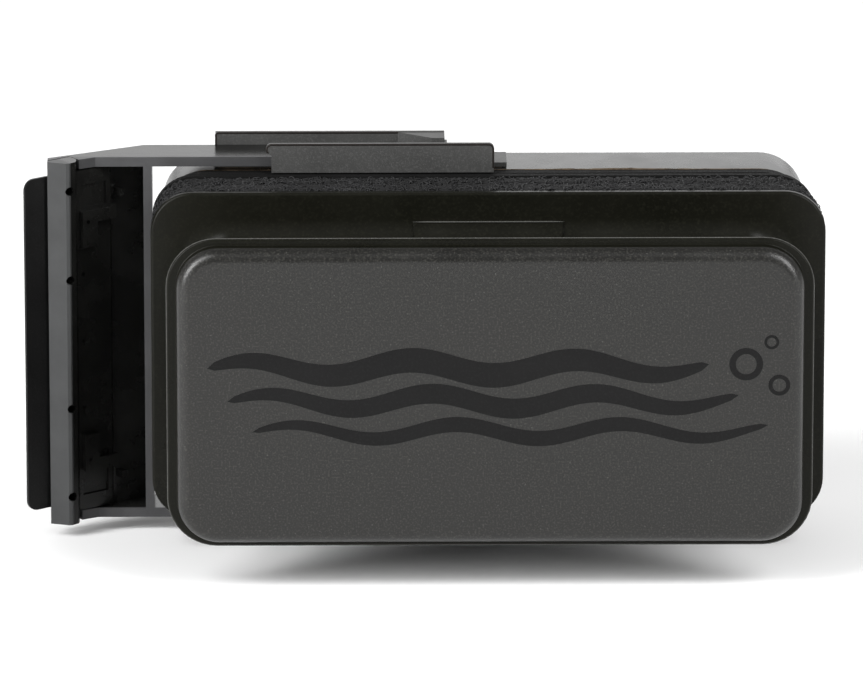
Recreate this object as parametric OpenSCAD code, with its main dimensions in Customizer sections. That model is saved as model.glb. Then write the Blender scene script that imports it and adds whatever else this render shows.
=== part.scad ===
// Magnetic glass cleaner: a dry half and a floating wet half that clamp a tank's glass between
// their pads, with a scraper frame that slides onto the wet half.
// X runs along the length, Y points from the dry half to the wet half, Z is up.
// The origin is the centre of the plane where the two pads meet.

/* [Dry half] */
// Length of the dry half's flange
flange_len = 137.6; // [132:0.4:140]
// Height of the dry half's flange
flange_ht = 69.4; // [68:0.2:71]
// Corner radius of the flange
flange_r = 8.5; // [6:0.5:12]
// Thickness of the flange
flange_t = 1.7; // [1.6:0.1:2]
// Height of the finger groove's waist
waist_ht = 48.8; // [48:0.2:50]
// Distance from the flange to the grip's ridge
ridge_reach = 25.8; // [25:0.2:27]
// Height that the grip cap stands proud of the ridge
cap_proud = 4.1; // [3.6:0.1:4.6]
// Wall of the dry shell
dry_wall = 2.5; // [2.2:0.1:2.6]

/* [Pads] */
// Thickness of the felt pad with its adhesive
felt_t = 6; // [5:0.5:7]
// Thickness of the scrub pad with its backing
scrub_t = 6; // [5:0.5:6]
// Thickness of the scrub pad's backing
backing_t = 1.8; // [1:0.2:2.4]
// Thickness of an adhesive sheet
glue_t = 0.4; // [0.2:0.1:0.6]

/* [Wet half] */
// Length of the wet shell
wet_len = 132.2; // [130:0.2:133]
// Height of the wet shell
wet_ht = 70.4; // [70:0.2:70.4]
// Depth of the wet shell
wet_depth = 17.5; // [16:0.5:22]
// Thickness of the wet base plate
wet_plate_t = 2.5; // [2:0.1:3]
// Wall of the wet shell
wet_wall = 2; // [1.8:0.1:2.6]

/* [Side clips] */
// Length of the clips' front rails
front_rail_len = 45.5; // [42:0.5:47]
// Height of the front rails above the middle
front_rail_z = 41.5; // [40:0.1:43]
// Height of the rear rails above the middle
rear_rail_z = 41; // [40:0.1:43]
// Thickness of the rails
rail_t = 1.3; // [1:0.1:1.3]

/* [Scraper frame] */
// Gap between the two arms
arm_gap = 73; // [73:0.1:74]
// Thickness of the arms
arm_t = 2; // [1.8:0.1:2.4]
// Distance from the pads' meeting plane to the arms
arm_front = 6.8; // [6.8:0.1:7.2]
// Width of the arms
arm_w = 9.8; // [9.4:0.1:9.8]

/* [Blade] */
// Length of the blade
blade_len = 70.6; // [66:0.2:72]
// Width of the blade
blade_w = 12.9; // [12:0.1:12.9]
// Thickness of the blade
blade_t = 0.6; // [0.4:0.1:0.6]
// Angle between the blade and the glass
blade_angle = 37; // [37:0.5:38]

/* [Magnets] */
// Length of a dry magnet
dry_magnet_len = 50; // [40:1:50]
// Height of a dry magnet
dry_magnet_ht = 38; // [30:1:38]
// Thickness of a dry magnet
dry_magnet_t = 14; // [8:1:14]
// Length of a wet magnet
wet_magnet_len = 40; // [30:1:50]
// Height of a wet magnet
wet_magnet_ht = 26; // [20:1:40]
// Thickness of a wet magnet
wet_magnet_t = 6; // [5:0.5:9]

/* [Hidden] */

$fn = 64;
eps = 0.01;
corner_steps = 8;       // facets in each corner of a lofted shell

// Dry half, half sizes and depths. Depths are negative on the dry side of the glass.
flange_hw = flange_len / 2;
flange_hh = flange_ht / 2;
flange_back = -felt_t;
flange_face = flange_back - flange_t;
flange_edge_r = 0.6;
groove_fillet = 5;      // concave fillet between the flange and the waist
waist_hh = waist_ht / 2;
waist_hw = flange_hw - 11.3;
waist_r = 6;
face_hw = waist_hw + groove_fillet + 0.2;
face_hh = waist_hh + groove_fillet;
waist_y = flange_face - groove_fillet;
ridge_hw = flange_hw - 3.5;
ridge_hh = flange_hh - 2.8;
ridge_r = 10;
ridge_y = flange_face - ridge_reach;
flare_run = waist_y - ridge_y;
flare_rise = ridge_hh - waist_hh;
flare_r = (flare_run * flare_run + flare_rise * flare_rise) / (2 * flare_rise);
flare_a = asin(flare_run / flare_r);
flare_steps = 7;
ledge_y = ridge_y - 0.5;
cap_edge_r = 2.7;
cap_hw = ridge_hw - 2.4;
cap_hh = ridge_hh - 1;
cap_r = 8.5;
cap_y = ridge_y - cap_proud - 0.4;
recess_hw = flange_hw - 9.1;
recess_hh = flange_hh - 8.3;
recess_r = 6;
recess_t = 1.5;         // depth of the seat for the dry base plate
slack = 0.3;            // room between parts that drop in
patch_w = 30.6;         // plain raised patch above the waist
patch_h = 4.6;
patch_proud = 1.5;

// Dry magnet pack
magnet_gap = 3.2;       // between the two dry magnets
dry_magnet_x = (dry_magnet_len + magnet_gap) / 2;
pack_back = flange_back - recess_t - 0.1;
keeper_y = pack_back - dry_magnet_t;
keeper_t = 2.4;

// Wet half. Its middle sits a little left of the dry half's.
wet_x = -0.6;
wet_hw = wet_len / 2;
wet_hh = wet_ht / 2;
wet_r = 9.5;
wet_shell_y = scrub_t + wet_plate_t;
wet_back = wet_shell_y + wet_depth;
wet_edge_r = 4.5;
pad_hw = flange_hw - 0.6;
pad_hh = wet_hh - 0.1;
pad_r = 9;
rim_t = 1.6;
rim_h = 2.5;
wet_magnet_x = 26;      // centre of each wet magnet from the middle
wet_keeper_t = 1.2;

// Side clips
clip_z = wet_hh + 0.3;  // face of the clip's base that is glued down
clip_t = 0.9;
clip_x0 = -56;
clip_x1 = 4;
clip_front = 9.8;       // front edge of the clip's base, behind the front rail
rail_front = arm_front - 0.2 - rail_t;
rail_rear = arm_front + arm_w + 0.3;
front_rail_x1 = 1.3;
rear_rail_x1 = -8.7;
stop_x = -11.3;         // end stop for the arm
stop_top = 39.4;
stop_w = 4.7;           // width of the stop's slanted block, and its run along the arm
stop_run = 7;

// Scraper head, drawn in the blade's own axes: u runs up the blade from its tip, v points to the
// glass and z is the same as the part's.
tip = [-94.7, 0.4];
arm_z = arm_gap / 2;
head_x = -90;
wall_x = -70.5;         // cross wall
wall_t = 1.8;
arm_end = -12;
arm_bevel = [7.1, 4.75]; // slanted end of an arm: its run and its width
back_y = 6.3;           // outer back edge at the head's left end
arm_back = arm_front + arm_w;
back_slope = (arm_back - back_y) / (wall_x - head_x);
back_t = 1.75;
seat_v = -blade_t / 2 - 0.05;
press_v = blade_t / 2 + 0.05;
seat_u0 = 6.15;
seat_u1 = 13.1;
post_u = 8.2;
post_z = [-32.6, -13.7, 13.7, 32.6];
post_r = 0.6;
post_hole_r = 0.95;
bar_z = 38.6;
flap_z = arm_z - slack;
flap_v = 3.4;
pivot_u = 19;
pivot_v = 2.65;
pivot_r = 0.75;
pivot_bore_r = 0.82;
pivot_len = 1.5;
snap_u = 13.2;
snap_z = 21.6;
snap_pin_r = 0.8;
snap_bore_r = 0.88;
snap_t = 1.25;
catch_u = 21.6;         // pegs on the cross wall that the snap arms meet
catch_z = 30.2;
catch_size = [1.2, 1.6];
catch_v = [1.6, 4.4];
snap_foot_u = [11.4, 15]; // foot of a snap arm, which turns on its pin
snap_foot_z = 20;
snap_bar_z = [25.2, 27.6]; // its bar, which reaches towards the peg
snap_end = [19.8, 28.2];
snap_hole = [12.7, 25.4];
snap_hole_r = 0.4;
pocket_at = [14.9, 30.7]; // shallow pockets in the flap
pocket_size = [6.4, 4.8];
pocket_depth = 0.5;
dimple_u = 12.2;        // ejector marks on the flap
dimple_z = [-14.2, 0, 14.2];
dimple_r = 0.45;
dimple_depth = 0.6;
blade_r = 2.3;

black = [0.09, 0.09, 0.10];
dark = [0.14, 0.14, 0.15];
grey = [0.24, 0.24, 0.26];
ferrite = [0.20, 0.20, 0.21];
steel = [0.62, 0.63, 0.65];
foam = [0.85, 0.85, 0.82];
glue = [0.55, 0.48, 0.36];

// Point of the head's (u, v) axes in the part's X and Y
function head_pt(u, v) = [tip[0] + u * cos(blade_angle) + v * sin(blade_angle),
                          tip[1] + u * sin(blade_angle) - v * cos(blade_angle)];

// Depth of the head's back wall, on its inner face, at x
function back_inner(x) = back_y + back_slope * (x - head_x) - back_t;

// Points round a rounded rectangle of half width hw and half height hh, at depth y
function ring(y, hw, hh, r) =
    [for (q = [0:3], i = [0:corner_steps])
        let (a = 90 * q + 90 * i / corner_steps,
             sx = (q == 0 || q == 3) ? 1 : -1,
             sz = q < 2 ? 1 : -1)
        [sx * (hw - r) + r * cos(a), y, sz * (hh - r) + r * sin(a)]];

// Solid skinned over rings of equal length, ordered from low y to high y
module skin(rings) {
    n = len(rings[0]);
    last = len(rings) - 1;
    points = [for (ring_points = rings, p = ring_points) p];
    sides = [for (i = [0:last - 1], j = [0:n - 1])
                let (k = (j + 1) % n, a = i * n, b = (i + 1) * n)
                each [[a + j, a + k, b + k], [a + j, b + k, b + j]]];
    front = [for (j = [n - 1:-1:0]) j];
    back = [for (j = [0:n - 1]) last * n + j];
    polyhedron(points, concat([front], sides, [back]), convexity = 8);
}

module rounded_outline(hw, hh, r) {
    square([2 * (hw - r), 2 * hh], center = true);
    square([2 * hw, 2 * (hh - r)], center = true);
    for (sx = [-1, 1], sz = [-1, 1])
        translate([sx * (hw - r), sz * (hh - r)]) circle(r);
}

// Rounded plate between two depths
module slab(y0, y1, hw, hh, r, x = 0) {
    translate([x, y1, 0]) rotate([90, 0, 0]) linear_extrude(y1 - y0) rounded_outline(hw, hh, r);
}

// Box between two corners
module block(a, b) {
    translate(a) cube(b - a);
}

// Puts children drawn in the head's axes into place: their x is u and their y is -v
module in_head() {
    translate([tip[0], tip[1], 0]) rotate([0, 0, blade_angle]) children();
}

// Prism in the head from an outline of (u, v) points, between two heights
module head_prism(points, z0, z1) {
    in_head() translate([0, 0, z0]) linear_extrude(z1 - z0) polygon([for (p = points) [p[0], -p[1]]]);
}

// Plate in the head from a (u, z) outline, between v0 and v1
module head_plate(v0, v1) {
    in_head() translate([0, -v0, 0]) rotate([90, 0, 0]) linear_extrude(v1 - v0) children();
}

// ---- Dry half ----

function dry_outer() =
    let (fillet = [for (i = [0:5])
            let (a = 90 * i / 5, s = sin(a))
            ring(waist_y + groove_fillet * cos(a), face_hw - (face_hw - waist_hw) * s,
                 face_hh - groove_fillet * s, flange_r - (flange_r - waist_r) * s)],
         flare = [for (i = [1:flare_steps])
            let (a = flare_a * i / flare_steps, t = (1 - cos(a)) / (1 - cos(flare_a)))
            ring(waist_y - flare_r * sin(a), waist_hw + (ridge_hw - waist_hw) * t,
                 waist_hh + flare_rise * t, waist_r + (ridge_r - waist_r) * t)],
         cap = [for (i = [0:6])
            let (a = 90 * i / 6, inset = cap_edge_r * (1 - cos(a)))
            ring(cap_y + cap_edge_r * (1 - sin(a)), cap_hw - inset, cap_hh - inset, cap_r - inset)])
    concat([ring(flange_back, flange_hw, flange_hh, flange_r),
            ring(flange_face + flange_edge_r, flange_hw, flange_hh, flange_r),
            ring(flange_face + 0.2, flange_hw - 0.2, flange_hh - 0.2, flange_r - 0.2),
            ring(flange_face, flange_hw - flange_edge_r, flange_hh - flange_edge_r,
                 flange_r - flange_edge_r)],
           fillet, flare,
           [ring(ledge_y + 0.1, ridge_hw - 0.1, ridge_hh - 0.1, ridge_r - 0.1),
            ring(ledge_y, ridge_hw - 0.4, ridge_hh - 0.4, ridge_r - 0.4),
            ring(ledge_y, cap_hw + 0.1, cap_hh + 0.1, cap_r + 0.1)],
           cap);

function dry_cavity() =
    let (w = dry_wall, r2 = flare_r + dry_wall,
         flare = [for (a = [0:17:34])
            let (t = (1 - cos(a)) / (1 - cos(flare_a)))
            ring(waist_y - r2 * sin(a), waist_hw - w + (ridge_hw - waist_hw) * t,
                 waist_hh - w + r2 * (1 - cos(a)), waist_r - 1.5)])
    concat([ring(flange_back + 1, recess_hw, recess_hh, recess_r),
            ring(flange_back - recess_t, recess_hw, recess_hh, recess_r),
            ring(flange_back - recess_t, waist_hw - w + 0.3, waist_hh - w + 0.3, waist_r - 1.5)],
           flare,
           [ring(cap_y + w, cap_hw - 3.5, cap_hh - 3.1, waist_r)]);

// The rings above run from the glass outwards, so they are turned round for the skin
function reversed(list) = [for (i = [len(list) - 1:-1:0]) list[i]];

module dry_shell() {
    color(black) {
        difference() {
            skin(reversed(dry_outer()));
            skin(reversed(dry_cavity()));
        }
        translate([0, flange_face + eps, face_hh - 0.8 - patch_h / 2]) rotate([90, 0, 0])
            linear_extrude(patch_proud) rounded_outline(patch_w / 2, patch_h / 2, 0.8);
    }
}

module dry_base_plate() {
    color(dark) slab(flange_back - recess_t + 0.1, flange_back, recess_hw - 0.2, recess_hh - 0.2,
                     recess_r - 0.2);
}

module dry_magnet(side) {
    color(ferrite) translate([side * dry_magnet_x, pack_back - dry_magnet_t / 2, 0])
        cube([dry_magnet_len, dry_magnet_t, dry_magnet_ht], center = true);
}

module dry_magnet_left() { dry_magnet(-1); }
module dry_magnet_right() { dry_magnet(1); }

module dry_magnet_cradle() {
    color(grey) difference() {
        slab(keeper_y + 0.2, pack_back, waist_hw - 3.3, waist_hh - 3.1, 3.6);
        for (side = [-1, 1])
            translate([side * dry_magnet_x, pack_back - dry_magnet_t / 2, 0])
                cube([dry_magnet_len + slack, dry_magnet_t + 2, dry_magnet_ht + slack], center = true);
    }
}

module dry_keeper_plate() {
    color(steel) slab(keeper_y - keeper_t, keeper_y, dry_magnet_len + 3, dry_magnet_ht / 2 + 1, 2);
}

module dry_spacer_foam() {
    color(foam) slab(cap_y + dry_wall + 0.1, keeper_y - keeper_t, dry_magnet_len + 2,
                     dry_magnet_ht / 2, 4);
}

module felt_adhesive() {
    color(glue) slab(flange_back, flange_back + glue_t, flange_hw - 1.5, flange_hh - 1.5,
                     flange_r - 1.5);
}

module felt_pad() {
    color(dark) slab(flange_back + glue_t, 0, flange_hw - 0.1, pad_hh - 0.2, pad_r);
}

// ---- Wet half ----

module wet_shell() {
    outer = concat([ring(wet_shell_y, wet_hw, wet_hh, wet_r)],
        [for (i = [0:6])
            let (a = 90 * i / 6, inset = wet_edge_r * (1 - cos(a)))
            ring(wet_back - wet_edge_r * (1 - sin(a)), wet_hw - inset, wet_hh - inset, wet_r - inset)]);
    hw = wet_hw - wet_wall;
    hh = wet_hh - wet_wall;
    color(black) translate([wet_x, 0, 0]) difference() {
        skin(outer);
        skin([ring(wet_shell_y - 1, hw, hh, wet_r - wet_wall),
              ring(wet_back - wet_wall - 2, hw, hh, wet_r - wet_wall),
              ring(wet_back - wet_wall, hw - 2, hh - 2, wet_r - wet_wall - 2)]);
    }
}

module wet_base_plate() {
    rim_hw = wet_hw - wet_wall - slack;
    rim_hh = wet_hh - wet_wall - slack;
    rim_r = wet_r - wet_wall - slack;
    color(dark) {
        slab(scrub_t, wet_shell_y, wet_hw + 0.7, wet_hh, wet_r + 0.2, wet_x);
        difference() {
            slab(wet_shell_y - 0.5, wet_shell_y + rim_h, rim_hw, rim_hh, rim_r, wet_x);
            slab(wet_shell_y - 1, wet_shell_y + rim_h + 1, rim_hw - rim_t, rim_hh - rim_t,
                 rim_r - rim_t, wet_x);
        }
    }
}

module wet_magnet(side, grow = 0) {
    translate([wet_x + side * wet_magnet_x, wet_shell_y + wet_magnet_t / 2, 0])
        cube([wet_magnet_len + grow, wet_magnet_t + grow, wet_magnet_ht + grow], center = true);
}

module wet_magnet_left() { color(ferrite) wet_magnet(-1); }
module wet_magnet_right() { color(ferrite) wet_magnet(1); }

module wet_keeper(grow = 0) {
    y0 = wet_shell_y + wet_magnet_t;
    slab(y0 - grow, y0 + wet_keeper_t + grow, wet_magnet_x + wet_magnet_len / 2 + grow,
         wet_magnet_ht / 2 + 1 + grow, 2, wet_x);
}

module wet_keeper_plate() { color(steel) wet_keeper(); }

module wet_float_foam() {
    inset = wet_wall + slack + rim_t + 0.4;
    color(foam) difference() {
        slab(wet_shell_y + 0.2, wet_back - wet_wall - 0.3, wet_hw - inset, wet_hh - inset,
             wet_r - inset, wet_x);
        for (side = [-1, 1])
            wet_magnet(side, slack * 2);
        wet_keeper(slack);
    }
}

module scrub_backing() {
    color(dark) slab(scrub_t - backing_t, scrub_t, pad_hw - 0.1, pad_hh, pad_r, wet_x);
}

module scrub_pad() {
    color(grey) slab(0, scrub_t - backing_t, pad_hw, pad_hh - 0.1, pad_r, wet_x);
}

// One side clip, above the wet half: a base that is glued down, two rails and an end stop
module side_clip() {
    base_z = clip_z + clip_t;
    front_rail_x0 = front_rail_x1 - front_rail_len;
    block([clip_x0, clip_front, clip_z], [clip_x1, rail_rear + rail_t, base_z]);
    block([front_rail_x0, rail_front, clip_z], [front_rail_x1, clip_front + eps, base_z]);
    difference() {
        block([front_rail_x0, rail_front, base_z - eps],
              [front_rail_x1, rail_front + rail_t, front_rail_z]);
        translate([front_rail_x1 - 1, rail_front - 1, front_rail_z - 1]) difference() {
            cube([2, rail_t + 2, 2]);
            rotate([-90, 0, 0]) cylinder(r = 1, h = rail_t + 2);
        }
    }
    translate([front_rail_x0, rail_front + rail_t, front_rail_z - 1.1]) rotate([90, 0, 0])
        cylinder(r = 1.1, h = rail_t);
    block([clip_x0 + 0.2, rail_rear, base_z - eps], [rear_rail_x1, rail_rear + rail_t, rear_rail_z]);
    translate([0, 0, base_z - eps]) linear_extrude(rear_rail_z - base_z)
        polygon([[stop_x - stop_run, rail_rear + eps], [stop_x, rail_rear - stop_w],
                 [rear_rail_x1, rail_rear - stop_w], [rear_rail_x1, rail_rear + eps]]);
    block([stop_x, rail_front + rail_t - eps, base_z - eps], [rear_rail_x1 + 0.5, rail_rear, stop_top]);
}

module upper_side_clip() { color(dark) side_clip(); }
module lower_side_clip() { color(dark) mirror([0, 0, 1]) side_clip(); }

module clip_adhesive() {
    color(glue) for (side = [0, 1])
        mirror([0, 0, side]) block([clip_x0 + 1, clip_front + 0.3, wet_hh],
                                   [clip_x1 - 1, rail_rear, clip_z]);
}

// ---- Scraper ----

module scraper_frame() {
    plate = concat([[arm_end, arm_front], [arm_end, arm_back - arm_bevel[1]],
                    [arm_end - arm_bevel[0], arm_back],
                    [wall_x, arm_back], [head_x, back_y]],
                   [head_pt(seat_u0, seat_v), head_pt(11.6, seat_v), head_pt(11.6, 3.1),
                    [-81.3, arm_front - 0.6], [-80.3, arm_front]]);
    wall_v = (back_inner(head_pt(seat_u1, 0)[0]) - head_pt(seat_u1, 0)[1]) / -cos(blade_angle);
    wall = [[head_x, back_y], head_pt(seat_u0, seat_v), head_pt(seat_u1, seat_v),
            head_pt(seat_u1, wall_v), [wall_x, back_inner(wall_x)], [wall_x, arm_front],
            [wall_x + wall_t, arm_front], [wall_x + wall_t, arm_back], [wall_x, arm_back]];
    color(dark) {
        difference() {
            union() {
                for (side = [0, 1])
                    mirror([0, 0, side]) translate([0, 0, arm_z]) linear_extrude(arm_t) polygon(plate);
                translate([0, 0, -arm_z - eps]) linear_extrude(arm_gap + 2 * eps) polygon(wall);
            }
            for (side = [0, 1])
                mirror([0, 0, side]) in_head() translate([pivot_u, -pivot_v, arm_z - 1])
                    cylinder(r = pivot_bore_r, h = pivot_len + 0.9);
        }
        for (z = post_z)
            head_plate(seat_v - 0.3, 1.4) translate([post_u, z]) circle(post_r);
        for (side = [-1, 1])
            head_plate(catch_v[0], catch_v[1]) translate([catch_u, side * catch_z])
                square(catch_size, center = true);
    }
}

module blade_clamp() {
    bar = [[5.62, press_v], [5.08, 1.07], [7.33, 4.4], [7.98, 4.7], [9.63, 4.5], [10.4, 3.8]];
    flap = concat(bar, [[10.83, flap_v], [pivot_u, flap_v], [pivot_u, pivot_v - pivot_r],
                        [13.4, 2], [12.6, press_v]]);
    cap = concat(bar, [[11.2, 2.6], [11.2, press_v]]);
    color(grey) difference() {
        union() {
            head_prism(flap, -flap_z, flap_z);
            for (side = [0, 1])
                mirror([0, 0, side]) head_prism(cap, flap_z - eps, bar_z);
            in_head() translate([pivot_u, -pivot_v, 0])
                cylinder(r = pivot_r, h = 2 * (flap_z + pivot_len), center = true);
            for (side = [-1, 1])
                head_plate(flap_v - 0.2, flap_v + snap_t + 0.25) translate([snap_u, side * snap_z])
                    circle(snap_pin_r);
        }
        for (z = post_z)
            head_plate(-1, 6) translate([post_u, z]) circle(post_hole_r);
        for (side = [-1, 1])
            head_plate(flap_v - pocket_depth, flap_v + 1) translate([pocket_at[0], side * pocket_at[1]])
                square(pocket_size, center = true);
        for (z = dimple_z)
            head_plate(flap_v - dimple_depth, flap_v + 1) translate([dimple_u, z]) circle(dimple_r);
    }
}

// One L-shaped snap arm, above the middle
module snap_arm() {
    u0 = snap_foot_u[0];
    u1 = snap_foot_u[1];
    z0 = snap_bar_z[0];
    z1 = snap_bar_z[1];
    end_u = snap_end[0];
    end_z = snap_end[1];
    head_plate(flap_v + 0.05, flap_v + 0.05 + snap_t) difference() {
        polygon([[u0, snap_foot_z], [u1, snap_foot_z], [u1, z0], [end_u, z0], [end_u, end_z],
                 [end_u - 0.8, end_z], [end_u - 1.6, z1], [u0, z1]]);
        translate(snap_hole) circle(snap_hole_r);
        translate([snap_u, snap_z]) circle(snap_bore_r);
    }
}

module upper_snap_arm() { color(grey) snap_arm(); }
module lower_snap_arm() { color(grey) mirror([0, 0, 1]) snap_arm(); }

module blade() {
    hw = blade_len / 2;
    r = blade_r;
    color(black) head_plate(-blade_t / 2, blade_t / 2) difference() {
        union() {
            translate([r, -hw]) square([blade_w - r, blade_len]);
            translate([0, r - hw]) square([blade_w, blade_len - 2 * r]);
            for (side = [-1, 1])
                translate([r, side * (hw - r)]) circle(r);
        }
        for (z = post_z) {
            translate([post_u, z]) circle(post_hole_r);
            translate([post_u, z - post_hole_r]) square([blade_w, 2 * post_hole_r]);
        }
    }
}

dry_shell();
dry_base_plate();
dry_magnet_left();
dry_magnet_right();
dry_magnet_cradle();
dry_keeper_plate();
dry_spacer_foam();
felt_adhesive();
felt_pad();
wet_shell();
wet_base_plate();
wet_magnet_left();
wet_magnet_right();
wet_keeper_plate();
wet_float_foam();
scrub_backing();
scrub_pad();
upper_side_clip();
lower_side_clip();
clip_adhesive();
scraper_frame();
blade_clamp();
upper_snap_arm();
lower_snap_arm();
blade();
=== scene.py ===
"""Looks of the magnetic glass cleaner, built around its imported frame.

Everything is in metres in the frame's own axes: X along the length, Y from the dry half to the wet
half, Z up, with the origin in the plane where the two pads meet.
"""

import math

import bmesh
import bpy
import numpy as np
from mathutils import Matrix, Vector, noise


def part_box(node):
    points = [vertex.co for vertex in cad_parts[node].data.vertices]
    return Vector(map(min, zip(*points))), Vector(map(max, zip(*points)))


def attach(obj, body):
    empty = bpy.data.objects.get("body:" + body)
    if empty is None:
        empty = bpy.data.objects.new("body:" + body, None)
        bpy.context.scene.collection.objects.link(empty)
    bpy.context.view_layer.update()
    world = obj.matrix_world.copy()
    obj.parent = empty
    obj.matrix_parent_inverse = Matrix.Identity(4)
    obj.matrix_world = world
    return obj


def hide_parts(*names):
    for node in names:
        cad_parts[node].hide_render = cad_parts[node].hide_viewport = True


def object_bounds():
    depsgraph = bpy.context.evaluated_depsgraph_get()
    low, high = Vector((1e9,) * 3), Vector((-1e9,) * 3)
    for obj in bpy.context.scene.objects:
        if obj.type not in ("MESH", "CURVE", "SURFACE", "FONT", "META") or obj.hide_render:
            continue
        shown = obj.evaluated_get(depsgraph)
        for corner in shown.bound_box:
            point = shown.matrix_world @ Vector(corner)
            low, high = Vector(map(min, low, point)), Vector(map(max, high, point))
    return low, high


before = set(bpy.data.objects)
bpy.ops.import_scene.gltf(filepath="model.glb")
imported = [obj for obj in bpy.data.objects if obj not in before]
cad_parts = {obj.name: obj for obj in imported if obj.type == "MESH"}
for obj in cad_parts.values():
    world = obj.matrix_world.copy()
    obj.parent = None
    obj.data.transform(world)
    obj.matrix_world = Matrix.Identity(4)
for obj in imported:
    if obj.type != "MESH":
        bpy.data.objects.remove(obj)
cad_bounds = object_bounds()

MM = 0.001
scene = bpy.context.scene
scene.view_settings.view_transform = "Standard"


# ---------------------------------------------------------------- mesh helpers

def ring(y, half_w, half_h, radius, centre_x=0.0, corner=12):
    """Points round a rounded rectangle at depth y."""
    points = []
    for quarter in range(4):
        sx = 1 if quarter in (0, 3) else -1
        sz = 1 if quarter < 2 else -1
        for step in range(corner + 1):
            angle = math.radians(90 * (quarter + step / corner))
            points.append((centre_x + sx * (half_w - radius) + radius * math.cos(angle), y,
                           sz * (half_h - radius) + radius * math.sin(angle)))
    return points


def fine_ring(y, half_w, half_h, radius, centre_x=0.0, along_x=104, along_z=46, corner=10):
    """The same ring as vectors, with its straight sides divided too."""
    corners = ring(y, half_w, half_h, radius, centre_x, corner)
    points = []
    for quarter in range(4):
        arc = [Vector(point) for point in corners[quarter * (corner + 1):(quarter + 1) * (corner + 1)]]
        following = Vector(corners[(quarter + 1) * (corner + 1) % len(corners)])
        steps = along_z if quarter % 2 else along_x
        points += arc + [arc[-1].lerp(following, step / steps) for step in range(1, steps)]
    return points


def add_object(name, bm):
    """Turns a bmesh into an object of that name."""
    bmesh.ops.recalc_face_normals(bm, faces=bm.faces)
    mesh = bpy.data.meshes.new(name)
    bm.to_mesh(mesh)
    bm.free()
    obj = bpy.data.objects.new(name, mesh)
    scene.collection.objects.link(obj)
    return obj


def skin(name, rings, second_from=None):
    """Closed mesh over rings of equal length. Faces from ring second_from on use the second material."""
    bm = bmesh.new()
    loops = [[bm.verts.new(point) for point in points] for points in rings]
    count = len(loops[0])
    for row, (first, second) in enumerate(zip(loops, loops[1:])):
        for i in range(count):
            k = (i + 1) % count
            face = bm.faces.new((first[i], first[k], second[k], second[i]))
            face.material_index = int(second_from is not None and row >= second_from)
    bm.faces.new(loops[0])
    last = bm.faces.new(loops[-1][::-1])
    last.material_index = int(second_from is not None)
    return add_object(name, bm)


def prism(name, outline, depth_from, depth_to):
    """Upright prism from an outline of (x, z) points, between two depths."""
    bm = bmesh.new()
    loops = [[bm.verts.new((x, y, z)) for x, z in outline] for y in (depth_from, depth_to)]
    bm.faces.new(loops[0])
    bm.faces.new(loops[1][::-1])
    for i in range(len(outline)):
        k = (i + 1) % len(outline)
        bm.faces.new((loops[0][i], loops[0][k], loops[1][k], loops[1][i]))
    return add_object(name, bm)


def smooth(obj, angle=38):
    """Smooth shading that keeps creases sharper than the angle."""
    obj.data.shade_smooth()
    obj.data.set_sharp_from_angle(angle=math.radians(angle))
    weighted = obj.modifiers.new("weighted", "WEIGHTED_NORMAL")
    weighted.keep_sharp = True
    return obj


def soften_edges(obj, width, segments=3):
    """Rounds the edges of a hard part with modifiers, which leave its own mesh as it is."""
    flat = obj.modifiers.new("flat", "DECIMATE")
    flat.decimate_type = "DISSOLVE"
    flat.angle_limit = math.radians(1)
    bevel = obj.modifiers.new("bevel", "BEVEL")
    bevel.width = width
    bevel.segments = segments
    bevel.limit_method = "ANGLE"
    bevel.angle_limit = math.radians(30)
    bevel.harden_normals = True
    return obj


def paint(obj, *materials):
    """Gives the object these materials in its slots."""
    if obj.data.materials:
        obj.data.materials.clear()
    for each in materials:
        obj.data.materials.append(each)
    return obj


def place(obj, body, slot, *nodes):
    """Rides the piece on its body and hides the nodes that it stands for. Its slot is not used."""
    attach(obj, body)
    if nodes:
        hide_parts(*nodes)
    return obj


def mean_and_half(node):
    """Centre and half size of a node's box."""
    low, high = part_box(node)
    return (low + high) / 2, (high - low) / 2


# ---------------------------------------------------------------- materials

def noise_node(tree, coords, size, detail=3.0, roughness=0.6):
    """Noise texture whose features are about that size, in metres."""
    node = tree.nodes.new("ShaderNodeTexNoise")
    node.inputs["Scale"].default_value = 1 / size
    node.inputs["Detail"].default_value = detail
    node.inputs["Roughness"].default_value = roughness
    tree.links.new(coords, node.inputs["Vector"])
    return node


def map_range(tree, value, low, high, to_low, to_high):
    """Remaps a value."""
    node = tree.nodes.new("ShaderNodeMapRange")
    for name, number in (("From Min", low), ("From Max", high), ("To Min", to_low), ("To Max", to_high)):
        node.inputs[name].default_value = number
    tree.links.new(value, node.inputs["Value"])
    return node.outputs["Result"]


def mix_colour(tree, factor, first, second):
    """Mixes two colours, each a tuple or a socket."""
    node = tree.nodes.new("ShaderNodeMix")
    node.data_type = "RGBA"
    tree.links.new(factor, node.inputs["Factor"])
    for name, colour in (("A", first), ("B", second)):
        socket = next(s for s in node.inputs if s.name == name and s.type == "RGBA")
        if isinstance(colour, tuple):
            socket.default_value = (*colour, 1)
        else:
            tree.links.new(colour, socket)
    return next(s for s in node.outputs if s.type == "RGBA")


def start_material(name):
    """A new material, its node tree, its shader and its object coordinates."""
    mat = bpy.data.materials.new(name)
    mat.use_nodes = True
    tree = mat.node_tree
    coords = tree.nodes.new("ShaderNodeTexCoord").outputs["Object"]
    return mat, tree, tree.nodes["Principled BSDF"], coords


def add_bump(tree, shader, heights):
    """Chains bumps given as (value socket, height in metres)."""
    normal = None
    for value, height in heights:
        bump = tree.nodes.new("ShaderNodeBump")
        bump.inputs["Strength"].default_value = 1
        bump.inputs["Distance"].default_value = height
        tree.links.new(value, bump.inputs["Height"])
        if normal is not None:
            tree.links.new(normal, bump.inputs["Normal"])
        normal = bump.outputs["Normal"]
    tree.links.new(normal, shader.inputs["Normal"])


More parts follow.
